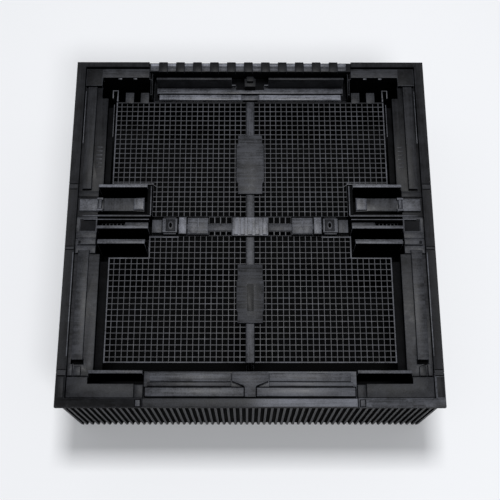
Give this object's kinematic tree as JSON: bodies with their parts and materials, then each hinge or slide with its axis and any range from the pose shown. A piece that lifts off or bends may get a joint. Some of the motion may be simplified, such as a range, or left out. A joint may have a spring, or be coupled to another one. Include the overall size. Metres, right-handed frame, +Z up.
{
  "type": "hive box",
  "caption": "Square ribbed black plastic hive box with a screened floor, castellated entrance with lifting gates, tab plates, latches, draw bolts and a pull-out inspection tray.",
  "frame": {"origin": "centre of the base, on the surface the box stands on", "axes": "+Z up, +Y towards the castellated entrance side, +X to the right seen from the front"},
  "size_m": [0.508, 0.508, 0.168],
  "materials": {
    "ribbed_skirt": "matte moulded black plastic with upright ribs",
    "dark_frame": "charcoal black plastic, brushed and slightly worn",
    "inner_frame": "dark grey plastic with handling marks",
    "screen": "moulded black plastic screen, soft sheen on the bars",
    "bright_fitting": "dark grey plastic rubbed lighter on its top faces"
  },
  "bodies": {
    "box": {"back_plate": "inner_frame", "back_wall": "ribbed_skirt", "carrier_cross": "inner_frame", "centre_block": "inner_frame", "centre_key": "inner_frame", "entrance_comb": "dark_frame", "entrance_floor": "inner_frame", "front_plate": "inner_frame", "front_rim_bar": "inner_frame", "front_sill": "inner_frame", "front_wall": "ribbed_skirt", "hub": "bright_fitting", "left_arm": "inner_frame", "left_back_bracket": "inner_frame", "left_back_ledge": "inner_frame", "left_back_screen": "screen", "left_back_tab": "bright_fitting", "left_cover_bar": "bright_fitting", "left_front_corner": "inner_frame", "left_front_ledge": "inner_frame", "left_front_screen": "screen", "left_front_tab": "bright_fitting", "left_ledge_bar": "bright_fitting", "left_middle_block": "inner_frame", "left_pocket": "inner_frame", "left_rim_back_corner": "dark_frame", "left_rim_front": "dark_frame", "left_rim_front_corner": "dark_frame", "left_rim_middle": "dark_frame", "left_twin_tab": "bright_fitting", "left_wall": "ribbed_skirt", "right_arm": "inner_frame", "right_back_bracket": "inner_frame", "right_back_ledge": "inner_frame", "right_back_screen": "screen", "right_back_tab": "bright_fitting", "right_cover_bar": "bright_fitting", "right_front_corner": "inner_frame", "right_front_ledge": "inner_frame", "right_front_screen": "screen", "right_front_tab": "bright_fitting", "right_ledge_bar": "bright_fitting", "right_middle_block": "inner_frame", "right_pocket": "inner_frame", "right_rim_back_corner": "dark_frame", "right_rim_front": "dark_frame", "right_rim_front_corner": "dark_frame", "right_rim_middle": "dark_frame", "right_twin_tab": "bright_fitting", "right_wall": "ribbed_skirt"},
    "tray": {"inspection_tray": "dark_frame"},
    "left_gate": {"left_gate": "dark_frame"},
    "right_gate": {"right_gate": "dark_frame"},
    "left_slide": {"left_slide": "bright_fitting"},
    "right_slide": {"right_slide": "bright_fitting"},
    "left_lever": {"left_latch_lever": "bright_fitting"},
    "right_lever": {"right_latch_lever": "bright_fitting"},
    "left_bolt": {"left_draw_bolt": "bright_fitting"},
    "right_bolt": {"right_draw_bolt": "bright_fitting"}
  },
  "joints": [
    {"name": "tray_pull", "type": "slide", "parent": "box", "child": "tray", "axis": [0, 1, 0], "range_m": [0, 0.42]},
    {"name": "left_gate_lift", "type": "slide", "parent": "box", "child": "left_gate", "axis": [0, 0, 1], "range_m": [0, 0.025]},
    {"name": "right_gate_lift", "type": "slide", "parent": "box", "child": "right_gate", "axis": [0, 0, 1], "range_m": [0, 0.025]},
    {"name": "left_slide_travel", "type": "slide", "parent": "box", "child": "left_slide", "axis": [0, -1, 0], "range_m": [0, 0.005]},
    {"name": "right_slide_travel", "type": "slide", "parent": "box", "child": "right_slide", "axis": [0, -1, 0], "range_m": [0, 0.005]},
    {"name": "left_lever_flip", "type": "hinge", "parent": "box", "child": "left_lever", "pos_m": [-0.2095, 0.0295, 0.163], "axis": [0, -1, 0], "range_deg": [0, 90]},
    {"name": "right_lever_flip", "type": "hinge", "parent": "box", "child": "right_lever", "pos_m": [0.2095, 0.0295, 0.163], "axis": [0, 1, 0], "range_deg": [0, 90]},
    {"name": "left_bolt_draw", "type": "slide", "parent": "box", "child": "left_bolt", "axis": [1, 0, 0], "range_m": [0, 0.02]},
    {"name": "right_bolt_draw", "type": "slide", "parent": "box", "child": "right_bolt", "axis": [-1, 0, 0], "range_m": [0, 0.02]}
  ]
}
